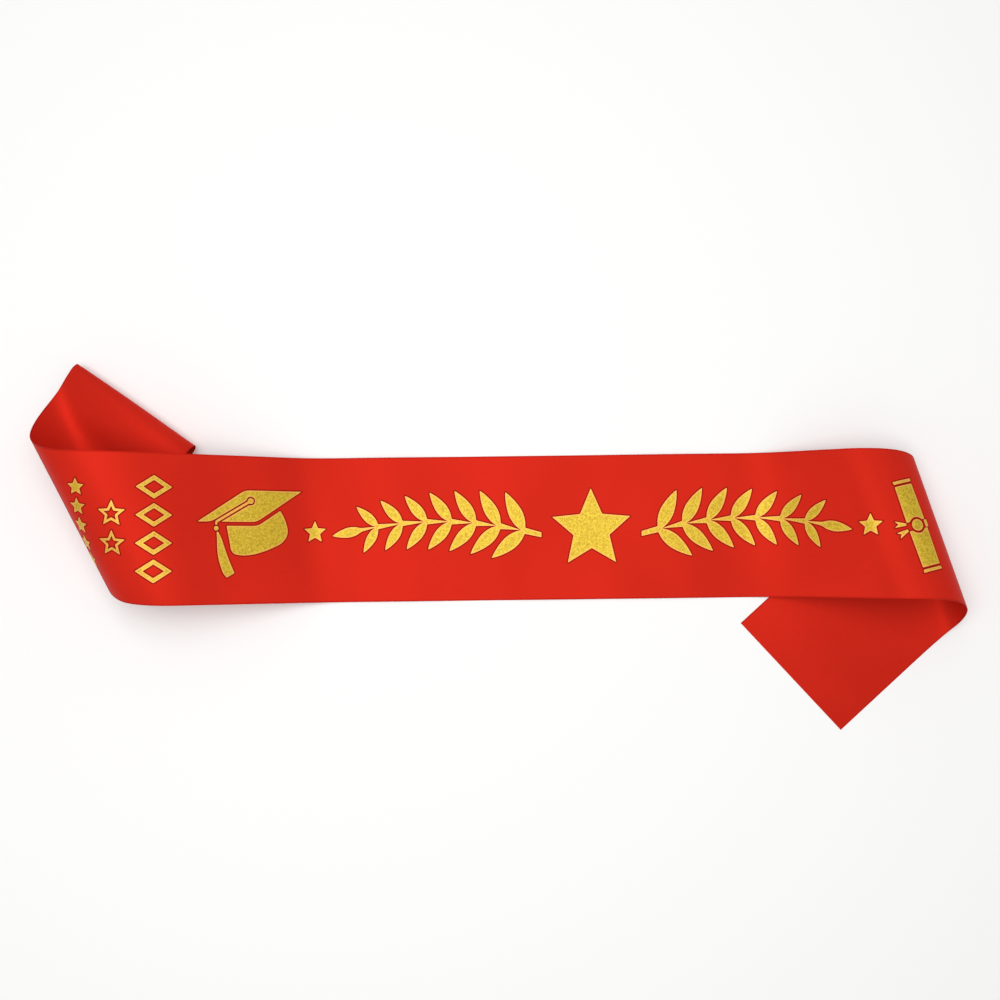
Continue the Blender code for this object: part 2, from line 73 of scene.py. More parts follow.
# Bends from the sash's middle outwards. Columns: name; place, from the roll's line outwards, and
# spread, half the bend's length, both in ribbon widths; turn in degrees, upwards positive; slant of
# the bend's lines, the distance outwards for each millimetre towards the top edge.
RIGHT_BENDS = (
    ("lift", -1.17, 0.32, 33.6, -0.04),
    ("crest", -0.58, 0.43, 0.5, -0.39),
    ("roll", 0.00, 0.82, -164.5, -0.29),
    ("level", 0.36, 0.13, -48.8, -0.50),
)
LEFT_BENDS = (
    ("lift", -1.91, 0.32, 28.5, 0.07),
    ("crest", -0.51, 0.49, -75.0, 0.51),
    ("roll", 0.00, 0.54, -85.0, 0.49),
    ("level", 0.27, 0.34, -53.0, 0.83),
    ("turn_under", 0.93, 0.17, 185.0, 0.03),
)
# What settles so that each end lies flat on the table: (bend, column)
RIGHT_SETTLES = (("lift", "turn"), ("roll", "turn"), ("level", "slant"))
LEFT_SETTLES = (("lift", "turn"), ("turn_under", "turn"), ("level", "slant"))

# Soft swells of the cloth. Columns: place along the strip, half-length, place across it and reach
# across it, all in ribbon widths; height in millimetres; slant of the swell's line, as for the bends.
SWELLS = (
    (-0.78, 0.60, 0.10, 0.95, 1.9, 0.12),
    (0.34, 0.45, -0.20, 0.80, 0.9, -0.10),
    (1.12, 0.70, 0.05, 0.95, 1.6, 0.15),
    (-1.62, 0.34, 0.15, 0.80, 0.9, 0.20),
    (-3.92, 0.24, 0.00, 0.90, -3.4, 0.05),
    (-3.62, 0.20, 0.10, 0.45, 2.6, 0.10),
    (-2.86, 0.16, 0.05, 1.40, 0.7, 0.52),
    (2.62, 0.15, -0.05, 1.40, 0.8, -0.33),
)

# Fineness of the dressed ribbon and of the print
ROWS_ACROSS = 46
BOX_COLUMNS = 9
ROW_LENGTH = 3.4
ROW_TURN = math.radians(1.5)
PRINT_CELL = 1.1
FILM_CELL = 1.6
LEAST_EDGE = 0.04
WELD = 0.01
PRINT_SHARP = math.radians(40.0)
CLOTH_SHARP = math.radians(50.0)
# Rounds of the search for a flat end, and of the one for the bend line through a point
SETTLE_ROUNDS = 6
LINE_ROUNDS = 40

# How far the cloth lies above the table, and the film above the cloth
CLOTH_LIFT = 0.05
FILM_LIFT = 0.03

# Mortarboard
CAP_FROM_LEFT_ROLL = 136.0
BOARD_LENGTH = 67.5
BOARD_HEIGHT = 20.2
BOARD_SLANT = 30.0
BOARD_UP = 5.0
BUTTON_RADIUS = 1.9
BUTTON_UP = 13.4
CORD_WIDTH = 1.5
CORD_CHANNEL = 1.0
CORD_FOOT = 22.0
KNOT_RADIUS = 1.5
KNOT_DROP = 4.2
BRUSH_GAP = 0.8
BRUSH_LENGTH = 29.0
BRUSH_SWING = 11.5
BOWL_FROM_TASSEL = 6.6
BOWL_GAP = 2.6
BOWL_LENGTH = 40.0
BOWL_DEPTH = 19.0
BOWL_SHOULDER = 0.87
# Brush of the tassel. Columns: down its length, then its left and right sides from the knot's
# middle, as shares of BRUSH_LENGTH and BRUSH_SWING
BRUSH_SECTIONS = (
    (0.00, 0.02, 0.11),
    (0.13, 0.04, 0.28),
    (0.40, 0.05, 0.50),
    (0.62, 0.13, 0.70),
    (0.90, 0.36, 1.00),
)
BRUSH_TIP = 0.57
# Bowl under the board, from its shoulder round below. Columns: along from its left end and down from
# its rim, as shares of BOWL_LENGTH and BOWL_DEPTH
BOWL_CONTOUR = (
    (0.95, -0.24),
    (1.00, 0.14),
    (0.98, 0.37),
    (0.89, 0.60),
    (0.65, 0.83),
    (0.43, 0.97),
    (0.25, 1.00),
    (0.12, 0.95),
    (0.07, 0.83),
    (0.05, 0.58),
)

# Ornament from the cap to the scroll: a star, two laurel sprays and two end stars
ORNAMENT_FROM_CAP = 1.5
ORNAMENT_FROM_SCROLL = 6.0
STAR_RADIUS = 27.0
STAR_WAIST = 0.46
STAR_DROP = 1.5
SPRAY_GAP = 6.0
SPRAY_BOW = 9.6
STEM_WIDTH = 3.2
LEAF_PITCH = 16.0
LEAF_LENGTH = 27.0
LEAF_WIDTH = 9.5
LEAF_ANGLE = math.radians(52.0)
LEAF_SHRINK = 0.38
LEAF_ROOT = 0.3
TIP_LEAF = 0.72
# Bare stem before the first pair of leaves and after the last, in leaf pitches
STEM_FOOT = 0.75
STEM_END = 0.65
SMALL_STAR_RADIUS = 7.5
SMALL_STAR_GAP = 3.5
# Columns: along a leaf and its breadth there, as shares of its length and width
LEAF_SECTIONS = ((0.00, 0.34), (0.18, 0.82), (0.42, 1.00), (0.68, 0.72), (0.88, 0.33))

# Scroll tied with a knot
SCROLL_FROM_RIGHT_ROLL = 16.2
SCROLL_DROP = 1.0
SCROLL_LEAN = math.radians(17.2)
SCROLL_LENGTH = 59.5
SCROLL_WIDTH = 13.0
SCROLL_TAPER = 0.94
SCROLL_BAR = 1.9
SCROLL_BAR_GAP = 1.5
SCROLL_KNOT_RADIUS = 3.8
SCROLL_KNOT_GAP = 1.4
SCROLL_HOLLOW = math.radians(57.0)
SCROLL_TAIL_GAP = 0.4
SCROLL_TAIL_LENGTH = 7.0
SCROLL_TAIL_ROOT = 1.4
SCROLL_TAIL_WIDTH = 4.0
SCROLL_TAIL_NOTCH = 2.2
SCROLL_TAIL_LEAN = math.radians(15.0)
SCROLL_TAB_GAP = 0.5
SCROLL_TAB_RISE = 1.3
SCROLL_TAB_HEIGHT = 2.2

# Small figures in columns across the ribbon, from the cap outwards. Columns of the table: figure; gap
# to its right neighbour; count; gap between figures; length along the ribbon and height across it;
# line width, 0 for a filled figure. Lengths are in ribbon widths.
FIGURE_COLUMNS = (
    ("lozenge", 0.165, 4, 0.029, 0.232, 0.154, 0.027),
    ("star", 0.058, 2, 0.016, 0.179, 0.179, 0.015),
    ("small_star", 0.081, 5, 0.010, 0.121, 0.121, 0.0),
)

# Corners of the print: gentle ones flow, sharp ones are only blunted
GENTLE_CORNER = 3.0
SHARP_CORNER = 0.45
SHARP_TURN = math.radians(50.0)
# Most of a side that a corner takes, its steps, and the least cosine of the film's mitred corners
CORNER_SHARE = 0.45
EASE_STEPS = (0.0, 0.33, 0.67, 1.0)
MITRE = 0.55

# Satin: threads that a float and a crossing thread run over; then, in metres, the pitch of the
# selvedge's cords, a patch of dye along and across the ribbon, and the depth of the weave
FLOAT_THREADS = 9
CROSSING_THREADS = 6
SELVEDGE_CORD = 0.0006
DYE_PATCH = (0.055, 0.11)
WEAVE_DEPTH = 0.00006
# Share of the light that the threads mirror on each side, and how rough they are
FACE_GLOSS = 0.13
BACK_GLOSS = 0.19
SMOOTH_THREAD = 0.40
DULL_THREAD = 0.50
# Depth of the tilt of the glitter's flakes, in metres
FLAKE_DEPTH = 0.00012

# Table and lamp in metres, and the width of the picture in points
TABLE_HALF = 12.0
SOFTBOX_SIZE = (1.3, 1.1)
SOFTBOX_PLACE = (-0.12, 0.10, 1.35)
PICTURE_WIDTH = 1000

SMALL = {"precision": 5, "unit": "LENGTH"}
COLOUR = {"subtype": "COLOR", "size": 3, "min": 0, "max": 1}


def linear(code):
    """Linear colour of an sRGB hex code."""
    shares = [int(code[i:i + 2], 16) / 255 for i in (1, 3, 5)]
    return tuple(s / 12.92 if s <= 0.04045 else ((s + 0.055) / 1.055) ** 2.4 for s in shares)


class SashRibbonSettings(bpy.types.PropertyGroup):
    width: bpy.props.FloatProperty(
        name="Width", description="Width of the ribbon between its edges",
        default=0.095, min=0.03, max=0.2, **SMALL)
    thickness: bpy.props.FloatProperty(
        name="Thickness", description="Thickness of the satin",
        default=0.00035, min=0.0001, max=0.001, **SMALL)
    selvedge: bpy.props.FloatProperty(
        name="Selvedge", description="Width of the denser woven edge",
        default=0.0011, min=0.0, max=0.004, **SMALL)
    thread_pitch: bpy.props.FloatProperty(
        name="Thread pitch", description="Spacing of the threads that the weave shows",
        default=0.0009, min=0.0001, max=0.004, **SMALL)
    colour: bpy.props.FloatVectorProperty(
        name="Colour", description="Dyed colour of the satin", default=linear("#ce291b"), **COLOUR)
    edge_colour: bpy.props.FloatVectorProperty(
        name="Selvedge colour", description="Colour of the denser woven edge",
        default=linear("#bd2216"), **COLOUR)


class SashPrintSettings(bpy.types.PropertyGroup):
    relief: bpy.props.FloatProperty(
        name="Relief", description="Height of the glitter print over the cloth",
        default=0.00014, min=0.00005, max=0.0006, **SMALL)
    rim: bpy.props.FloatProperty(
        name="Rim", description="Width of the bright rim of an island",
        default=0.0011, min=0.0, max=0.003, **SMALL)
    film: bpy.props.FloatProperty(
        name="Film edge", description="Width of the film that darkens the satin round an island",
        default=0.0008, min=0.0001, max=0.003, **SMALL)
    flake: bpy.props.FloatProperty(
        name="Flake", description="Size of the glitter grains as they show",
        default=0.0007, min=0.0002, max=0.003, **SMALL)
    gold: bpy.props.FloatVectorProperty(
        name="Gold", description="Middle colour of the glitter", default=linear("#d2b02e"), **COLOUR)
    # the dark and light grains are painted shade and painted glints: flake tones that stand in for flakes
    # turned away from the light or towards it
    gold_painted_shade: bpy.props.FloatVectorProperty(
        name="Dark grains", description="Colour of the grains that face away",
        default=linear("#bf992a"), **COLOUR)
    gold_painted_glint: bpy.props.FloatVectorProperty(
        name="Light grains", description="Colour of the grains that face the light",
        default=linear("#e0c43e"), **COLOUR)
    rim_colour: bpy.props.FloatVectorProperty(
        name="Rim colour", description="Colour of the binder that shows at the rim",
        default=linear("#fbb45a"), **COLOUR)
    film_colour: bpy.props.FloatVectorProperty(
        name="Film colour", description="Satin darkened under the edge of the film",
        default=linear("#941305"), **COLOUR)


class SashStageSettings(bpy.types.PropertyGroup):
    floor_colour: bpy.props.FloatVectorProperty(
        name="Table", description="Colour of the table", default=linear("#fdfdfc"), **COLOUR)
    camera_height: bpy.props.FloatProperty(
        name="Camera height", description="Distance to the ribbon's flat middle",
        default=0.75, min=0.2, max=5.0, unit="LENGTH")
    camera_tilt: bpy.props.FloatProperty(
        name="Camera tilt", description="Lean of the view from straight down, towards the top edge",
        default=math.radians(2.85), subtype="ANGLE")
    camera_roll: bpy.props.FloatProperty(
        name="Camera roll", description="Turn of the picture", default=math.radians(0.72), subtype="ANGLE")
    pixels_per_mm: bpy.props.FloatProperty(
        name="Scale", description="Picture points for each millimetre at the flat middle", default=1.513)
    aim: bpy.props.FloatProperty(
        name="Aim", description="How far above the ribbon's middle line the view is aimed",
        default=0.01853, unit="LENGTH")
    key_power: bpy.props.FloatProperty(
        name="Key light", description="Power of the large overhead light", default=14.2, unit="POWER")
    room: bpy.props.FloatProperty(
        name="Room light", description="Strength of the even light of the room", default=0.42)


class FoldedSide:
    """One half of the strip, bent by its table of bends. sign is 1 for the right, -1 for the left."""

    def __init__(self, sign, bends, settles, roll_at, length, width):
        self.sign = sign
        self.length = length
        self.width = width
        self.bends = [
            {"name": name, "at": roll_at + place * width, "spread": spread * width,
             "turn": math.radians(turn), "slant": slant}
            for name, place, spread, turn, slant in bends
        ]
        self.settle(settles)
        self.walk()

    def bend(self, name):
        return next(bend for bend in self.bends if bend["name"] == name)

    def rate(self, u):
        """Turning for each millimetre along the strip: a raised cosine over each bend."""
        total = np.zeros_like(u)
        for bend in self.bends:
            share = np.clip((u - bend["at"]) / bend["spread"], -1.0, 1.0)
            total += bend["turn"] * (1.0 + np.cos(math.pi * share)) / (2.0 * bend["spread"])
        return total

    def slant(self, u):
        """Slant of the bend lines, eased from one bend to the next."""
        places = np.array([0.0] + [bend["at"] for bend in self.bends] + [self.length + self.width])
        slants = [bend["slant"] for bend in self.bends]
        slants = np.array([slants[0]] + slants + [slants[-1]])
        index = np.clip(np.searchsorted(places, u) - 1, 0, len(places) - 2)
        start = places[index]
        share = np.clip((u - start) / (places[index + 1] - start), 0.0, 1.0)
        eased = (share + share * share * (3.0 - 2.0 * share)) / 2.0
        return slants[index] + (slants[index + 1] - slants[index]) * eased

    def walk(self):
        """Follow the middle line step by step, turning the cloth's own axes about each bend line."""
        steps = int(math.ceil(self.length / WALK_STEP))
        self.u = np.linspace(0.0, self.length, steps + 1)
        step = self.u[1] - self.u[0]
        between = (self.u[1:] + self.u[:-1]) / 2.0
        axes = np.eye(3)
        place = np.zeros(3)
        all_axes = [axes]
        places = [place]
        for turn, slant in zip(self.rate(between) * step, self.slant(between)):
            x, y = -slant / math.hypot(slant, 1.0), -1.0 / math.hypot(slant, 1.0)
            cross = np.array([[0.0, 0.0, y], [0.0, 0.0, -x], [-y, x, 0.0]])
            half = np.eye(3) + math.sin(turn / 2) * cross + (1 - math.cos(turn / 2)) * cross @ cross
            axes = axes @ half
            place = place + axes[:, 0] * step
            axes = axes @ half
            all_axes.append(axes)
            places.append(place)
        self.axes = np.array(all_axes)
        self.places = np.array(places)

    def settle(self, settles):
        """Newton steps on three values of the table until the end lies flat at the middle's level."""
        def off_flat():
            self.walk()
            tilt = self.axes[-1][2] * self.width
            return np.array([tilt[0], tilt[1], self.places[-1][2]])

        nudge = {"turn": math.radians(0.05), "slant": 0.001}
        for _ in range(SETTLE_ROUNDS):
            before = off_flat()
            slopes = []
            for name, column in settles:
                self.bend(name)[column] += nudge[column]
                slopes.append((off_flat() - before) / nudge[column])
                self.bend(name)[column] -= nudge[column]
            change = np.linalg.solve(np.array(slopes).T, before)
            for (name, column), amount in zip(settles, change):
                self.bend(name)[column] -= amount

    def at(self, u, v, height):
        """Places in space of flat points (u, v), height above the strip's middle layer."""
        line = u.copy()
        for _ in range(LINE_ROUNDS):
            line = u - v * self.slant(line)
        index = np.clip(np.searchsorted(self.u, line) - 1, 0, len(self.u) - 2)
        share = ((line - self.u[index]) / (self.u[index + 1] - self.u[index]))[:, None]
        place = self.places[index] * (1 - share) + self.places[index + 1] * share
        axes = self.axes[index] * (1 - share[:, :, None]) + self.axes[index + 1] * share[:, :, None]
        slant = self.slant(line)
        place = place + (v * slant)[:, None] * axes[:, :, 0] + v[:, None] * axes[:, :, 1]
        place = place + height[:, None] * axes[:, :, 2]
        return place * np.array([self.sign, 1.0, 1.0])


class Strip:
    """The whole laid strip, in millimetres, placed over its solid."""

    def __init__(self, width, thickness):
        self.width = width
        self.thickness = thickness
        turn_place = next(place for name, place, *_ in LEFT_BENDS if name == "turn_under")
        self.right_end = RIGHT_ROLL_AT + TAIL_LENGTH
        self.left_end = LEFT_ROLL_AT + turn_place * width + TURNED_END_LENGTH
        margin = width / 2
        self.right = FoldedSide(1, RIGHT_BENDS, RIGHT_SETTLES, RIGHT_ROLL_AT, self.right_end + margin, width)
        self.left = FoldedSide(-1, LEFT_BENDS, LEFT_SETTLES, LEFT_ROLL_AT, self.left_end + margin, width)
        self.shift = np.zeros(3)
        self.swelling = 0.0
        self.shift = self.onto_solid()
        self.middle_line = self.shift.copy()
        # the thin cloth lies lower than the middle of its solid wall
        self.shift[2] -= (SOLID_WALL - thickness) / 2 - CLOTH_LIFT
        self.swelling = 1.0

    def onto_solid(self):
        """The shift that lays the strip's own box, with the solid's wall, over the solid's box."""
        places, slants = self.rows(ROW_LENGTH, ROW_TURN)
        v = np.linspace(-self.width / 2, self.width / 2, BOX_COLUMNS)
        points = np.array([(u + slant * across, across) for u, slant in zip(places, slants) for across in v])
        shell = np.concatenate([self.at(points, SOLID_WALL / 2), self.at(points, -SOLID_WALL / 2)])
        low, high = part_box("satin_ribbon")
        wanted = (np.array(low) + np.array(high)) / 2 / MM
        return wanted - (shell.min(axis=0) + shell.max(axis=0)) / 2

    def swell(self, points):
        """Height of the soft swells at flat points."""
        total = np.zeros(len(points))
        for place, half_length, across, reach, height, slant in SWELLS:
            v = points[:, 1] / self.width - across
            along = points[:, 0] / self.width - place - np.sign(place) * slant * v
            near = np.clip(1 - (along / half_length) ** 2, 0, 1) ** 2
            total += height * near * np.clip(1 - (v / reach) ** 2, 0, 1) ** 2
        return total * self.swelling

    def at(self, points, height):
        """Places in space of flat points, one row (u, v) each."""
        points = np.asarray(points, float)
        heights = np.broadcast_to(np.asarray(height, float), len(points)) + self.swell(points)
        right = points[:, 0] >= 0
        placed = np.empty((len(points), 3))
        placed[right] = self.right.at(points[right, 0], points[right, 1], heights[right])
        placed[~right] = self.left.at(-points[~right, 0], points[~right, 1], heights[~right])
        return placed + self.shift

    def rows(self, row_length, row_turn):
        """Rows of the mesh as (u on the middle line, slant in u for each v), closer where it bends."""
        fine = np.arange(-self.left_end, self.right_end, WALK_STEP)
        bending = np.where(fine >= 0, self.right.rate(np.abs(fine)), self.left.rate(np.abs(fine)))
        effort = np.concatenate([[0.0], np.cumsum(1.0 / row_length + np.abs(bending[:-1]) / row_turn)])
        count = int(math.ceil(effort[-1]))
        places = np.interp(np.linspace(0.0, effort[-1], count + 1), effort, fine)
        places[-1] = self.right_end
        slants = np.where(places >= 0, self.right.slant(np.abs(places)), -self.left.slant(np.abs(places)))
        # the rows turn square to the strip in its flat middle and along its cut ends
        middle = np.clip(np.abs(places) / self.width, 0.0, 1.0)
        last_bend = self.right.bend("level")
        tail = np.clip((places - last_bend["at"] - last_bend["spread"]) / (TAIL_LENGTH / 2), 0.0, 1.0)
        hidden = np.clip((self.left_end + places) / (TURNED_END_LENGTH / 2), 0.0, 1.0)
        slants = slants * middle * hidden * (1.0 - tail) + TAIL_CUT_SLANT * tail
        return places, slants


def laid_strip(context):
    ribbon = context.scene.sash_ribbon
    return Strip(ribbon.width / MM, ribbon.thickness / MM)


def arc(centre, radius, start, end, steps):
    """Points from one heading to another round a centre, both ends included."""
    turns = np.linspace(start, end, steps + 1)
    return [(centre[0] + radius * math.cos(turn), centre[1] + radius * math.sin(turn)) for turn in turns]


def circle(centre, radius, sides=16):
    return arc(centre, radius, 0.0, 2 * math.pi, sides)[:-1]


def star(centre, radius, points=5):
    outline = []
    for corner in range(2 * points):
        reach = radius * (STAR_WAIST if corner % 2 else 1.0)
        turn = math.pi / 2 + math.pi * corner / points
        outline.append((centre[0] + reach * math.cos(turn), centre[1] + reach * math.sin(turn)))
    return outline


def lozenge(centre, length, height):
    u, v = centre
    return [(u + length / 2, v), (u, v + height / 2), (u - length / 2, v), (u, v - height / 2)]


def ringed(outline, centre, line):
    """A figure with sides equally far from its centre, hollowed to a line of this width."""
    (x1, y1), (x2, y2) = [(x - centre[0], y - centre[1]) for x, y in outline[:2]]
    side_away = abs(x1 * y2 - x2 * y1) / math.hypot(x2 - x1, y2 - y1)
    share = 1.0 - line / side_away
    inner = [(centre[0] + (x - centre[0]) * share, centre[1] + (y - centre[1]) * share) for x, y in outline]
    return [outline, inner]


def turned(points, centre, angle):
    """Points in a frame of their own, turned and moved to their place on the strip."""
    c, s = math.cos(angle), math.sin(angle)
    return [(centre[0] + c * x - s * y, centre[1] + s * x + c * y) for x, y in points]


def reach_of(shapes):
    """Least and greatest u of a group of outlines."""
    along = [u for outlines in shapes.values() for outline in outlines for u, v in outline]
    return min(along), max(along)


def cap_outlines():
    """The mortarboard's five islands, as outlines on the strip."""
    middle = CAP_FROM_LEFT_ROLL - LEFT_ROLL_AT
    left = middle - BOARD_LENGTH / 2
    right = middle + BOARD_LENGTH / 2
    base = BOARD_UP
    button = Vector((middle, base + BUTTON_UP))
    foot = Vector((middle - CORD_FOOT, base))
    knot = Vector((foot.x, base - KNOT_DROP))

    # the cord runs in a bare channel, which opens at the board's lower edge and rings the button
    run = (foot - button).normalized()
    side = Vector((-run.y, run.x))
    heading = math.atan2(run.y, run.x)
    reach = CORD_WIDTH / 2 + CORD_CHANNEL
    ring = BUTTON_RADIUS + CORD_CHANNEL
    mouth = math.asin(reach / ring)
    hollow = arc(button, ring, heading - mouth, heading + mouth - 2 * math.pi, 10)

    def at_edge(offset):
        """Where a line beside the cord's middle line meets the board's lower edge."""
        start = button + side * offset
        return (start.x + run.x * (base - start.y) / run.y, base)

    board = [(left, base), at_edge(-reach)] + hollow + [at_edge(reach)]
    top = base + BOARD_HEIGHT
    board += [(right - BOARD_SLANT, base), (right, top), (left + BOARD_SLANT, top)]

    half = CORD_WIDTH / 2
    inner = math.asin(half / BUTTON_RADIUS)
    cord_end = knot.y + KNOT_RADIUS + BRUSH_GAP
    cord = arc(button, BUTTON_RADIUS, heading + inner, heading - inner + 2 * math.pi, 12)
    cord += [tuple(foot - side * half), (foot.x - half, cord_end)]
    cord += [(foot.x + half, cord_end), tuple(foot + side * half)]

    root = knot.y - KNOT_RADIUS - BRUSH_GAP
    shares = [(near, down) for down, near, far in BRUSH_SECTIONS] + [(BRUSH_TIP, 1.0)]
    shares += [(far, down) for down, near, far in reversed(BRUSH_SECTIONS)]
    brush = [(knot.x + across * BRUSH_SWING, root - down * BRUSH_LENGTH) for across, down in shares]

    # the bowl hangs below the board and follows its lower edge and its slanted right side
    rim = base - BOWL_GAP
    start = knot.x + BOWL_FROM_TASSEL
    slope = BOARD_HEIGHT / BOARD_SLANT
    slanted_base = right - BOARD_SLANT + BOWL_GAP * math.hypot(BOARD_SLANT, BOARD_HEIGHT) / BOARD_HEIGHT
    shoulder = start + BOWL_SHOULDER * BOWL_LENGTH
    bowl = [
        (start, rim),
        (slanted_base + (rim - base) / slope, rim),
        (shoulder, base + (shoulder - slanted_base) * slope),
    ]
    bowl += [(start + along * BOWL_LENGTH, rim - down * BOWL_DEPTH) for along, down in BOWL_CONTOUR]
    return {
        "cap_board": [board],
        "cap_bowl": [bowl],
        "tassel_cord": [cord],
        "tassel_knot": [circle(knot, KNOT_RADIUS, 12)],
        "tassel_brush": [brush],
    }


def leaf(base, angle, length, width):
    """Leaf contour from one side of its foot round its tip to the other side."""
    near = [(share * length, -breadth * width / 2) for share, breadth in LEAF_SECTIONS]
    far = [(x, -y) for x, y in reversed(near)]
    return turned(near + [(length, 0.0)] + far, base, angle)


def spray(start, direction, length):
    """Laurel spray beside the star: a bowed stem with pairs of leaves and one leaf at its tip."""
    tip_length = LEAF_LENGTH * TIP_LEAF
    leaved = length - tip_length
    pairs = int(leaved / LEAF_PITCH - STEM_FOOT - STEM_END) + 1
    pitch = leaved / (pairs - 1 + STEM_FOOT + STEM_END)

    def stem(x):
        """Middle of the stem and its heading, x from the spray's foot."""
        share = x / length
        height = SPRAY_BOW * (4 * share * (1 - share) - 0.5)
        return height, math.atan(SPRAY_BOW * 4 * (1 - 2 * share) / length)

    foot = stem(0)[0]
    upper, lower = [(0.0, foot + STEM_WIDTH / 2)], [(0.0, foot - STEM_WIDTH / 2)]
    for pair in range(pairs):
        x = (pair + STEM_FOOT) * pitch
        y, heading = stem(x)
        size = 1.0 - LEAF_SHRINK * pair / pairs
        for side, edge in ((1, upper), (-1, lower)):
            root = (x, y + side * STEM_WIDTH * LEAF_ROOT)
            contour = leaf(root, heading + side * LEAF_ANGLE, LEAF_LENGTH * size, LEAF_WIDTH * size)
            edge += contour[::-1] if side > 0 else contour
    y, heading = stem(leaved)
    tip = leaf((leaved, y), heading, tip_length, LEAF_WIDTH * TIP_LEAF)
    return [(start + direction * x, y) for x, y in lower + tip + upper[::-1]]


def middle_outlines(left, right):
    """The ornament that fills the strip from left to right."""
    centre = (left + right) / 2
    half = (right - left) / 2
    foot = STAR_RADIUS + SPRAY_GAP
    length = half - foot - SMALL_STAR_GAP - 2 * SMALL_STAR_RADIUS
    end = half - SMALL_STAR_RADIUS
    return {
        "centre_star": [star((centre, -STAR_DROP), STAR_RADIUS)],
        "laurel_left": [spray(centre - foot, -1, length)],
        "laurel_right": [spray(centre + foot, 1, length)],
        "end_star_left": [star((centre - end, -STAR_DROP), SMALL_STAR_RADIUS)],
        "end_star_right": [star((centre + end, -STAR_DROP), SMALL_STAR_RADIUS)],
    }


def scroll_outlines():
    """The tied scroll, in a frame with x along its own length, downwards, and y across it."""
    centre = (RIGHT_ROLL_AT - SCROLL_FROM_RIGHT_ROLL, -SCROLL_DROP)
    heading = -math.pi / 2 + SCROLL_LEAN
    half = SCROLL_LENGTH / 2
    wide = SCROLL_WIDTH / 2
    ring = SCROLL_KNOT_RADIUS + SCROLL_KNOT_GAP
    inner = ring * math.cos(SCROLL_HOLLOW)
    body = half - SCROLL_BAR - SCROLL_BAR_GAP

    def half_roll(way):
        """One half of the rolled sheet, its inner end hollowed round the knot."""
        hollow = arc((0.0, 0.0), ring, -SCROLL_HOLLOW, SCROLL_HOLLOW, 6)
        taper = wide * SCROLL_TAPER
        points = [(inner, -wide)] + hollow + [(inner, wide), (body, taper), (body, -taper)]
        return [(way * x, y) for x, y in points]

    def bar(way):
        """The sheet's edge seen past the end of the roll."""
        near, taper = half - SCROLL_BAR, wide * SCROLL_TAPER
        return [(way * x, y) for x, y in ((near, -taper), (half, -wide), (half, wide), (near, taper))]

    def tail(side):
        """Swallow-tailed ribbon end beside the roll, left of the knot."""
        lean = side * SCROLL_TAIL_LEAN
        root, fork = SCROLL_TAIL_ROOT / 2, SCROLL_TAIL_WIDTH / 2
        near = (wide + SCROLL_TAIL_GAP + root * abs(math.sin(lean))) / math.cos(lean)
        far = near + SCROLL_TAIL_LENGTH
        points = [(near, -root), (far, -fork), (far - SCROLL_TAIL_NOTCH, 0.0), (far, fork), (near, root)]
        return turned(points, (0.0, 0.0), -math.pi / 2 + lean)

    side = inner - SCROLL_TAB_GAP
    top = wide + SCROLL_TAB_RISE
    foot = top - SCROLL_TAB_HEIGHT
    shapes = {
        "scroll_top_bar": bar(-1),
        "scroll_top_roll": half_roll(-1),
        "scroll_knot": circle((0.0, 0.0), SCROLL_KNOT_RADIUS),
        "scroll_upper_tail": tail(-1),
        "scroll_lower_tail": tail(1),
        "scroll_tab": [(-side, foot), (side, foot), (side, top), (-side, top)],
        "scroll_low_roll": half_roll(1),
        "scroll_low_bar": bar(1),
    }
    return {name: [turned(points, centre, heading)] for name, points in shapes.items()}


def figure_outlines(start, width):
    """Columns of small figures across the strip, left of start, each counted from the top edge."""
    shapes = {}
    edge = start
    for name, gap, count, gap_across, length, height, line in FIGURE_COLUMNS:
        edge -= gap * width
        length, height = length * width, height * width
        pitch = height + gap_across * width
        for place in range(count):
            centre = (edge - length / 2, ((count - 1) / 2 - place) * pitch)
            outline = lozenge(centre, length, height) if name == "lozenge" else star(centre, height / 2)
            outlines = ringed(outline, centre, line * width) if line else [outline]
            shapes[f"{name}_{place + 1}"] = outlines
        edge -= length
    return shapes


def rounded(outline):
    """The outline with its corners eased."""
    eased = []
    for i, corner in enumerate(outline):
        here = np.array(corner)
        back = np.array(outline[i - 1]) - here
        ahead = np.array(outline[(i + 1) % len(outline)]) - here
        longs = np.linalg.norm(back), np.linalg.norm(ahead)
        turn = math.pi - math.acos(float(np.clip(back @ ahead / (longs[0] * longs[1]), -1, 1)))
        reach = min(GENTLE_CORNER if turn < SHARP_TURN else SHARP_CORNER, CORNER_SHARE * min(longs))
        first = here + back / longs[0] * reach
        last = here + ahead / longs[1] * reach
        for t in EASE_STEPS:
            eased.append(tuple((1 - t) ** 2 * first + 2 * t * (1 - t) * here + t * t * last))
    return eased


def divided(outline, longest):
    """The outline with its long sides cut up."""
    points = []
    for i, (u, v) in enumerate(outline):
        un, vn = outline[(i + 1) % len(outline)]
        pieces = max(1, int(math.ceil(math.hypot(un - u, vn - v) / longest)))
        points += [(u + (un - u) * k / pieces, v + (vn - v) * k / pieces) for k in range(pieces)]
    return np.array(points)


def distance_to(points, outlines):
    """Distance of flat points to the nearest side of the outlines."""
    nearest = np.full(len(points), np.inf)
    for outline in outlines:
        starts = np.array(outline)
        runs = np.roll(starts, -1, axis=0) - starts
        for start, run in zip(starts, runs):
            share = np.clip(((points - start) @ run) / max(run @ run, 1e-12), 0, 1)
            nearest = np.minimum(nearest, np.linalg.norm(points - start - share[:, None] * run, axis=1))
    return nearest


def linked(name, data):
    """A new object of this data, in the scene."""
    thing = bpy.data.objects.new(name, data)
    bpy.context.scene.collection.objects.link(thing)
    return thing


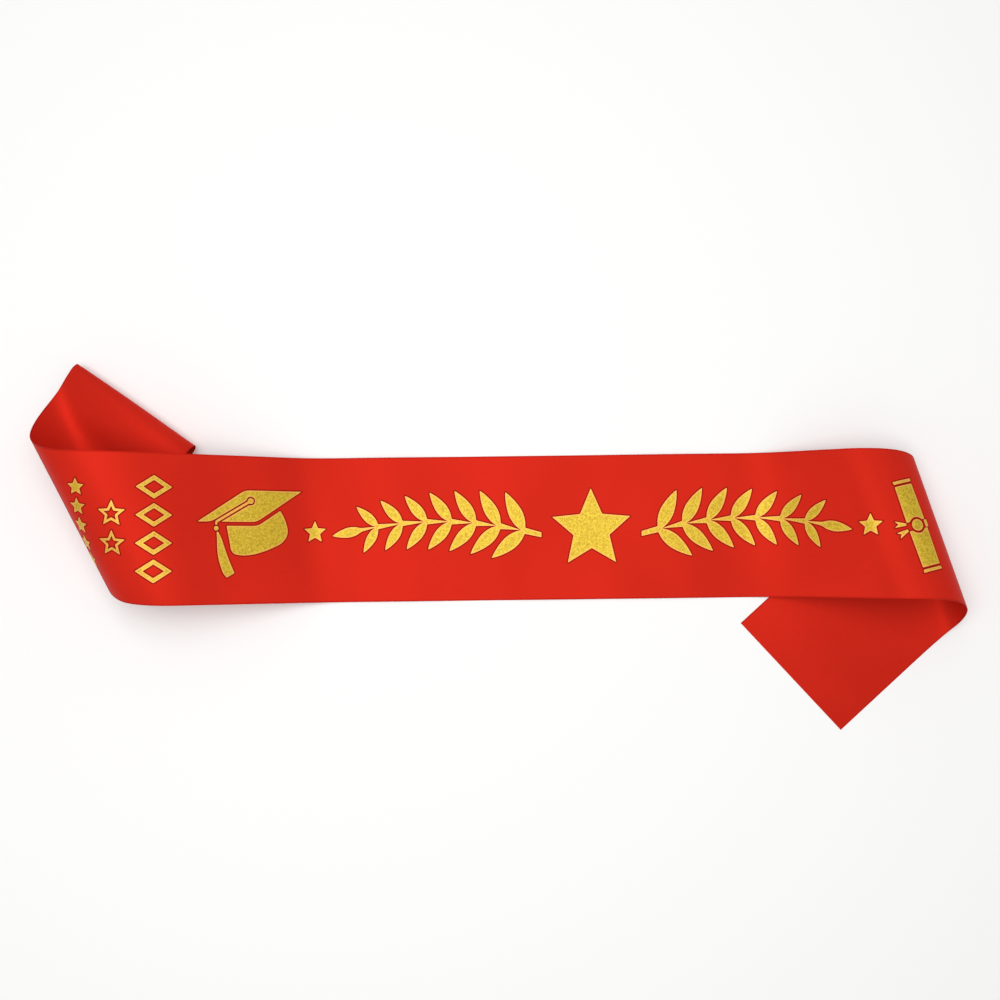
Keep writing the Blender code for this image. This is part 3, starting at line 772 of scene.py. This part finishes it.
def flat_plate(outlines, thickness):
    """Flat solid of an outline, given first, with any holes after it."""
    curve = bpy.data.curves.new("outline", "CURVE")
    curve.dimensions = "2D"
    curve.fill_mode = "BOTH"
    curve.extrude = thickness * MM / 2
    for outline in outlines:
        spline = curve.splines.new("POLY")
        spline.points.add(len(outline) - 1)
        for point, (u, v) in zip(spline.points, outline):
            point.co = (u * MM, v * MM, 0.0, 1.0)
        spline.use_cyclic_u = True
    holder = linked("outline", curve)
    graph = bpy.context.evaluated_depsgraph_get()
    mesh = bpy.data.meshes.new_from_object(holder.evaluated_get(graph))
    bpy.data.objects.remove(holder)
    return mesh


def film_ring(outline, outside, width):
    """Two lines of flat points that bound the film's edge along one outline."""
    points = divided(outline, FILM_CELL)
    after = np.roll(points, -1, axis=0)
    if (points[:, 0] * after[:, 1] - after[:, 0] * points[:, 1]).sum() < 0:
        points = points[::-1]
        after = np.roll(points, -1, axis=0)
    runs = after - points
    runs /= np.linalg.norm(runs, axis=1)[:, None]
    normals = np.column_stack([runs[:, 1], -runs[:, 0]]) * (1.0 if outside else -1.0)
    bisector = normals + np.roll(normals, 1, axis=0)
    bisector /= np.maximum(np.linalg.norm(bisector, axis=1)[:, None], 1e-6)
    stretch = 1.0 / np.clip((bisector * normals).sum(axis=1), MITRE, 1.0)
    return points, points + bisector * (width * stretch)[:, None]


def glitter_piece(name, outlines, strip, look, materials):
    """One island of the print on the cloth: its raised glitter and the film edge round it."""
    relief, rim, film = look.relief / MM, look.rim / MM, look.film / MM
    outlines = [rounded(outline) for outline in outlines]
    source = flat_plate(outlines, relief)
    plate = bmesh.new()
    plate.from_mesh(source)
    bpy.data.meshes.remove(source)
    bmesh.ops.remove_doubles(plate, verts=plate.verts, dist=WELD * MM)
    for axis in (0, 1):
        reach = [vert.co[axis] for vert in plate.verts]
        cuts = int((max(reach) - min(reach)) / (PRINT_CELL * MM))
        for cut in range(1, cuts + 1):
            plane = Vector((0.0, 0.0, 0.0))
            plane[axis] = min(reach) + cut * (max(reach) - min(reach)) / (cuts + 1)
            normal = Vector((float(axis == 0), float(axis == 1), 0.0))
            everything = plate.verts[:] + plate.edges[:] + plate.faces[:]
            bmesh.ops.bisect_plane(
                plate, geom=everything, dist=LEAST_EDGE * MM, plane_co=plane, plane_no=normal)
    bmesh.ops.triangulate(plate, faces=plate.faces[:])
    bmesh.ops.recalc_face_normals(plate, faces=plate.faces[:])
    flat = np.array([vert.co for vert in plate.verts]) / MM
    film_height = strip.thickness / 2 + FILM_LIFT
    foot = film_height + relief / 2
    for vert, place in zip(plate.verts, strip.at(flat[:, :2], foot + flat[:, 2])):
        vert.co = Vector(place) * MM
    flat_points = [flat[:, :2]]
    rim_shares = [np.clip(1.0 - distance_to(flat[:, :2], outlines) / max(rim, 1e-6), 0, 1)]
    for i, outline in enumerate(outlines):
        near, far = film_ring(outline, i == 0, film)
        rows = []
        for points in (near, far):
            placed = strip.at(points, film_height)
            rows.append([plate.verts.new(Vector(place) * MM) for place in placed])
            flat_points.append(points)
            rim_shares.append(np.zeros(len(points)))
        for k in range(len(near)):
            n = (k + 1) % len(near)
            face = plate.faces.new((rows[0][k], rows[1][k], rows[1][n], rows[0][n]))
            face.material_index = 1
    mesh = bpy.data.meshes.new(name)
    plate.to_mesh(mesh)
    plate.free()
    add_strip_map(mesh, np.concatenate(flat_points))
    attribute = mesh.attributes.new("rim", "FLOAT", "POINT")
    attribute.data.foreach_set("value", np.concatenate(rim_shares).astype(np.float32))
    mesh.shade_smooth()
    mesh.set_sharp_from_angle(angle=PRINT_SHARP)
    for material in materials:
        mesh.materials.append(material)
    return linked(name, mesh)


def add_strip_map(mesh, flat):
    """UV map of the flat strip in metres, which gives patterns their real sizes."""
    layer = mesh.uv_layers.new(name="strip")
    corners = np.empty(len(mesh.loops), np.int32)
    mesh.loops.foreach_get("vertex_index", corners)
    layer.data.foreach_set("uv", (flat[corners] * MM).astype(np.float32).ravel())


def add(tree, kind, values=None, links=None, **settings):
    """Adds a node with its settings, its sockets' values and the links into it."""
    node = tree.nodes.new(kind)
    for name, value in settings.items():
        setattr(node, name, value)
    for socket, value in (values or {}).items():
        node.inputs[socket].default_value = value
    for socket, (source, output) in (links or {}).items():
        tree.links.new(source.outputs[output], node.inputs[socket])
    return node


def blank_material(name):
    """A material with an empty tree, made anew."""
    old = bpy.data.materials.get(name)
    if old:
        bpy.data.materials.remove(old)
    material = bpy.data.materials.new(name)
    material.use_nodes = True
    material.node_tree.nodes.clear()
    return material, material.node_tree


def polyester_satin(look, name, gloss_share):
    """Woven polyester satin: long floats of bright thread along the ribbon give soft bands of gloss."""
    material, tree = blank_material(name)
    where = add(tree, "ShaderNodeUVMap", uv_map="strip")
    split = add(tree, "ShaderNodeSeparateXYZ", links={0: (where, 0)})
    per_thread = 1.0 / look.thread_pitch

    # real threads are about 0.1 mm apart, under a picture point, so they are drawn coarser
    floats = add(tree, "ShaderNodeMapping", {"Scale": (per_thread / FLOAT_THREADS, per_thread, 1.0)},
                 {"Vector": (where, 0)})
    threads = add(tree, "ShaderNodeTexNoise", {"Scale": 1.0, "Detail": 3.0, "Roughness": 0.6},
                  {"Vector": (floats, 0)}, noise_dimensions="2D")
    crossing = add(tree, "ShaderNodeMapping", {"Scale": (per_thread, per_thread / CROSSING_THREADS, 1.0)},
                   {"Vector": (where, 0)})
    wefts = add(tree, "ShaderNodeTexNoise", {"Scale": 1.0, "Detail": 2.0}, {"Vector": (crossing, 0)},
                noise_dimensions="2D")
    weave = add(tree, "ShaderNodeMix", {"Factor": 0.35}, {"A": (threads, 0), "B": (wefts, 0)},
                data_type="FLOAT")

    # the selvedge is a denser band about a millimetre wide along both edges
    away = add(tree, "ShaderNodeMath", links={0: (split, "Y")}, operation="ABSOLUTE")
    edge = look.width / 2
    selvedge = add(tree, "ShaderNodeMapRange",
                   {"From Min": edge - look.selvedge, "From Max": edge - look.selvedge * 0.6},
                   {"Value": (away, 0)}, interpolation_type="SMOOTHSTEP")
    cords = add(tree, "ShaderNodeMath", {1: 2 * math.pi / SELVEDGE_CORD}, {0: (split, "X")},
                operation="MULTIPLY")
    cord_wave = add(tree, "ShaderNodeMath", links={0: (cords, 0)}, operation="SINE")
    cord_relief = add(tree, "ShaderNodeMath", links={0: (cord_wave, 0), 1: (selvedge, 0)},
                      operation="MULTIPLY")

    # dye takes a little unevenly over a few centimetres
    wide = add(tree, "ShaderNodeMapping", {"Scale": (1 / DYE_PATCH[0], 1 / DYE_PATCH[1], 1.0)},
               {"Vector": (where, 0)})
    dye = add(tree, "ShaderNodeTexNoise", {"Scale": 1.0, "Detail": 1.0}, {"Vector": (wide, 0)},
              noise_dimensions="2D")
    tone = add(tree, "ShaderNodeMapRange",
               {"From Min": 0.3, "From Max": 0.7, "To Min": 0.93, "To Max": 1.05}, {"Value": (dye, 0)})
    grain = add(tree, "ShaderNodeMapRange",
                {"From Min": 0.25, "From Max": 0.75, "To Min": 0.96, "To Max": 1.04}, {"Value": (weave, 0)})
    both = add(tree, "ShaderNodeMath", links={0: (tone, 0), 1: (grain, 0)}, operation="MULTIPLY")
    body = add(tree, "ShaderNodeVectorMath", {0: look.colour}, {"Scale": (both, 0)}, operation="SCALE")
    colour = add(tree, "ShaderNodeMix", {"B": (*look.edge_colour, 1.0)},
                 {"Factor": (selvedge, 0), "A": (body, 0)}, data_type="RGBA")

    relief = add(tree, "ShaderNodeMath", {1: 0.5}, {0: (cord_relief, 0)}, operation="MULTIPLY")
    height = add(tree, "ShaderNodeMath", links={0: (weave, 0), 1: (relief, 0)}, operation="ADD")
    bump = add(tree, "ShaderNodeBump", {"Strength": 0.35, "Distance": WEAVE_DEPTH}, {"Height": (height, 0)})
    gloss = add(tree, "ShaderNodeMapRange", {"To Min": SMOOTH_THREAD, "To Max": DULL_THREAD},
                {"Value": (weave, 0)})
    along = add(tree, "ShaderNodeTangent", direction_type="UV_MAP", uv_map="strip")
    # light comes back from inside the dyed threads, so the gloss is as red as a coloured metal's
    surface = add(
        tree, "ShaderNodeBsdfPrincipled",
        {"Metallic": gloss_share, "Specular IOR Level": 0.06, "Specular Tint": (0.55, 0.05, 0.03, 1.0),
         "Anisotropic": 0.45, "Sheen Weight": 0.03, "Sheen Roughness": 0.4,
         "Sheen Tint": (1.0, 0.12, 0.08, 1.0)},
        {"Base Color": (colour, 2), "Roughness": (gloss, 0), "Normal": (bump, 0), "Tangent": (along, 0)})
    add(tree, "ShaderNodeOutputMaterial", links={0: (surface, 0)})
    return material


def gold_glitter(look):
    """Glitter flakes in a clear binder, screen printed: each flake has its own tilt, and its tone runs from
    dark to bright as painted shade and painted glints, as if it faced away from the light or towards it;
    the binder's rim is smooth and brighter."""
    material, tree = blank_material("gold_glitter")
    where = add(tree, "ShaderNodeUVMap", uv_map="strip")
    # flakes are about 0.2 mm, under a picture point, so they are drawn as coarse as they show
    flakes = add(tree, "ShaderNodeTexVoronoi", {"Scale": 1.0 / look.flake}, {"Vector": (where, 0)},
                 voronoi_dimensions="2D")
    clumps = add(tree, "ShaderNodeTexNoise", {"Scale": 0.45 / look.flake, "Detail": 1.0},
                 {"Vector": (where, 0)}, noise_dimensions="2D")
    pick = add(tree, "ShaderNodeSeparateColor", links={0: (flakes, "Color")})
    # the ramp paints random flakes dark or bright: painted shade and painted glints in place of flakes that
    # face away from the light or towards it
    painted_glint_tones = add(tree, "ShaderNodeMix", {"Factor": 0.5}, {"A": (pick, 0), "B": (clumps, 0)},
                data_type="FLOAT")
    ramp = add(tree, "ShaderNodeValToRGB", links={0: (painted_glint_tones, 0)})
    stops = ramp.color_ramp.elements
    stops[0].position = 0.25
    stops[0].color = (*look.gold_painted_shade, 1.0)
    stops[1].position = 0.75
    stops[1].color = (*look.gold_painted_glint, 1.0)
    stops.new(0.5).color = (*look.gold, 1.0)
    rim = add(tree, "ShaderNodeAttribute", attribute_name="rim")
    colour = add(tree, "ShaderNodeMix", {"B": (*look.rim_colour, 1.0)},
                 {"Factor": (rim, "Fac"), "A": (ramp, 0)}, data_type="RGBA")
    bump = add(tree, "ShaderNodeBump", {"Strength": 0.5, "Distance": FLAKE_DEPTH}, {"Height": (pick, 1)})
    surface = add(
        tree, "ShaderNodeBsdfPrincipled", {"Metallic": 0.35, "Roughness": 0.45, "Specular IOR Level": 0.2},
        {"Base Color": (colour, 2), "Normal": (bump, 0)})
    add(tree, "ShaderNodeOutputMaterial", links={0: (surface, 0)})
    return material


def plain_material(name, colour, roughness, mirrored):
    """A material that is the same all over."""
    material, tree = blank_material(name)
    surface = add(tree, "ShaderNodeBsdfPrincipled",
                  {"Base Color": (*colour, 1.0), "Roughness": roughness, "Specular IOR Level": mirrored})
    add(tree, "ShaderNodeOutputMaterial", links={0: (surface, 0)})
    return material


def print_film(look):
    """Clear transfer film, pressed: its edge wets the satin round the glitter and darkens it."""
    return plain_material("print_film", look.film_colour, 0.5, 0.05)


def matte_board(look):
    """Matte white laminate table top."""
    return plain_material("matte_table_top", look.floor_colour, 0.85, 0.2)


def dress_print(context, shapes):
    """Lays a group of islands on the cloth and lets each stand for its solid."""
    look = context.scene.sash_print
    strip = laid_strip(context)
    materials = [bpy.data.materials.get("gold_glitter") or gold_glitter(look),
                 bpy.data.materials.get("print_film") or print_film(look)]
    for node, outlines in shapes.items():
        piece = glitter_piece(f"{node}_glitter", outlines, strip, look, materials)
        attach(piece, "root")
        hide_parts(node)


class SASH_OT_satin_ribbon(bpy.types.Operator):
    """Rebuild the ribbon as thin satin laid along the solid's bends"""
    bl_idname = "sash.satin_ribbon"
    bl_label = "Satin ribbon"

    def execute(self, context):
        look = context.scene.sash_ribbon
        strip = laid_strip(context)
        places, slants = strip.rows(ROW_LENGTH, ROW_TURN)
        mesh = bpy.data.meshes.new("satin_cloth")
        grid = bmesh.new()
        bmesh.ops.create_grid(grid, x_segments=len(places) - 1, y_segments=ROWS_ACROSS, size=1.0)
        index = np.array([round((vert.co.x + 1) / 2 * (len(places) - 1)) for vert in grid.verts])
        v = np.array([vert.co.y for vert in grid.verts]) * strip.width / 2
        flat = np.column_stack([places[index] + v * slants[index], v])
        for vert, place in zip(grid.verts, strip.at(flat, 0.0)):
            vert.co = Vector(place) * MM
        grid.to_mesh(mesh)
        grid.free()
        add_strip_map(mesh, flat)
        mesh.materials.append(polyester_satin(look, "polyester_satin_face", FACE_GLOSS))
        mesh.materials.append(polyester_satin(look, "polyester_satin_back", BACK_GLOSS))
        ribbon = linked("satin_cloth", mesh)
        wall = ribbon.modifiers.new("thickness", "SOLIDIFY")
        wall.thickness = look.thickness
        wall.offset = 0.0
        wall.material_offset = 1
        thick = bpy.data.meshes.new_from_object(ribbon.evaluated_get(context.evaluated_depsgraph_get()))
        ribbon.modifiers.clear()
        ribbon.data = thick
        bpy.data.meshes.remove(mesh)
        thick.shade_smooth()
        thick.set_sharp_from_angle(angle=CLOTH_SHARP)
        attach(ribbon, "root")
        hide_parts("satin_ribbon")
        return {"FINISHED"}


class SASH_OT_cap_print(bpy.types.Operator):
    """Lay the mortarboard and its tassel on the ribbon's left"""
    bl_idname = "sash.cap_print"
    bl_label = "Mortarboard print"

    def execute(self, context):
        dress_print(context, cap_outlines())
        return {"FINISHED"}


class SASH_OT_laurel_print(bpy.types.Operator):
    """Lay the star, the two laurel sprays and the end stars along the front"""
    bl_idname = "sash.laurel_print"
    bl_label = "Star and laurel print"

    def execute(self, context):
        _, cap_right = reach_of(cap_outlines())
        scroll_left, _ = reach_of(scroll_outlines())
        shapes = middle_outlines(cap_right + ORNAMENT_FROM_CAP, scroll_left - ORNAMENT_FROM_SCROLL)
        dress_print(context, shapes)
        return {"FINISHED"}


class SASH_OT_scroll_print(bpy.types.Operator):
    """Lay the tied scroll beside the right roll"""
    bl_idname = "sash.scroll_print"
    bl_label = "Scroll print"

    def execute(self, context):
        dress_print(context, scroll_outlines())
        return {"FINISHED"}


class SASH_OT_figure_print(bpy.types.Operator):
    """Lay the columns of small figures over the left roll"""
    bl_idname = "sash.figure_print"
    bl_label = "Small figures print"

    def execute(self, context):
        cap_left, _ = reach_of(cap_outlines())
        dress_print(context, figure_outlines(cap_left, context.scene.sash_ribbon.width / MM))
        return {"FINISHED"}


class SASH_OT_declare_cloth(bpy.types.Operator):
    bl_idname = "sash.declare_cloth"
    bl_label = "Declare the cloth"

    def execute(self, context):
        strip = laid_strip(context)
        return {"FINISHED"}


class SASH_OT_stage(bpy.types.Operator):
    """Set the table, the soft studio light and the camera above it"""
    bl_idname = "sash.stage"
    bl_label = "Table, light and camera"

    def execute(self, context):
        look = context.scene.sash_stage
        top = bpy.data.meshes.new("table_top")
        board = bmesh.new()
        bmesh.ops.create_grid(board, x_segments=1, y_segments=1, size=TABLE_HALF)
        board.to_mesh(top)
        board.free()
        top.materials.append(matte_board(look))
        table = linked("table_top", top)

        world = bpy.data.worlds.new("even_room")
        world.use_nodes = True
        even = world.node_tree.nodes["Background"].inputs
        even["Color"].default_value = (1.0, 1.0, 1.0, 1.0)
        even["Strength"].default_value = look.room
        context.scene.world = world
        # the plain transform keeps a bright saturated red as it is
        context.scene.view_settings.view_transform = "Standard"

        key = bpy.data.lights.new("overhead_softbox", "AREA")
        key.shape = "RECTANGLE"
        key.size, key.size_y = SOFTBOX_SIZE
        key.energy = look.key_power
        lamp = linked("overhead_softbox", key)
        lamp.location = SOFTBOX_PLACE
        lamp.rotation_euler = (-lamp.location).to_track_quat("-Z", "Y").to_euler()

        # the lens gives the picture's scale at the flat middle
        lens = bpy.data.cameras.new("view_from_above")
        lens.sensor_width = 36.0
        lens.lens = look.camera_height / MM * look.pixels_per_mm / PICTURE_WIDTH * lens.sensor_width
        lens.clip_start = 0.01
        camera = linked("view_from_above", lens)
        middle = Vector(laid_strip(context).middle_line) * MM
        back = look.camera_height * math.sin(look.camera_tilt)
        up = look.camera_height * math.cos(look.camera_tilt)
        place = Matrix.Translation(middle + Vector((0.0, look.aim - back, up)))
        tilt = Matrix.Rotation(look.camera_tilt, 4, "X")
        camera.matrix_world = place @ tilt @ Matrix.Rotation(-look.camera_roll, 4, "Z")
        context.scene.camera = camera
        return {"FINISHED"}


class SASH_PT_looks(bpy.types.Panel):
    """Steps that dress the sash, in order, with their sizes and colours"""
    bl_idname = "SASH_PT_looks"
    bl_label = "Sash looks"
    bl_space_type = "VIEW_3D"
    bl_region_type = "UI"
    bl_category = "Sash"

    def draw(self, context):
        scene = context.scene
        for settings in (scene.sash_ribbon, scene.sash_print, scene.sash_stage):
            box = self.layout.box()
            for name in settings.__annotations__:
                box.prop(settings, name)
        for operator in OPERATORS:
            self.layout.operator(operator.bl_idname)


SETTINGS = {
    "sash_ribbon": SashRibbonSettings,
    "sash_print": SashPrintSettings,
    "sash_stage": SashStageSettings,
}
OPERATORS = (
    SASH_OT_satin_ribbon,
    SASH_OT_cap_print,
    SASH_OT_laurel_print,
    SASH_OT_scroll_print,
    SASH_OT_figure_print,
    SASH_OT_declare_cloth,
    SASH_OT_stage,
)


def register():
    for name, settings in SETTINGS.items():
        bpy.utils.register_class(settings)
        setattr(bpy.types.Scene, name, bpy.props.PointerProperty(type=settings))
    for kind in (*OPERATORS, SASH_PT_looks):
        bpy.utils.register_class(kind)


def unregister():
    for kind in (SASH_PT_looks, *reversed(OPERATORS)):
        bpy.utils.unregister_class(kind)
    for name, settings in reversed(SETTINGS.items()):
        delattr(bpy.types.Scene, name)
        bpy.utils.unregister_class(settings)


def main():
    register()
    bpy.ops.sash.satin_ribbon()
    bpy.ops.sash.cap_print()
    bpy.ops.sash.laurel_print()
    bpy.ops.sash.scroll_print()
    bpy.ops.sash.figure_print()
    bpy.ops.sash.declare_cloth()
    bpy.ops.sash.stage()


if __name__ == "__main__":
    main()
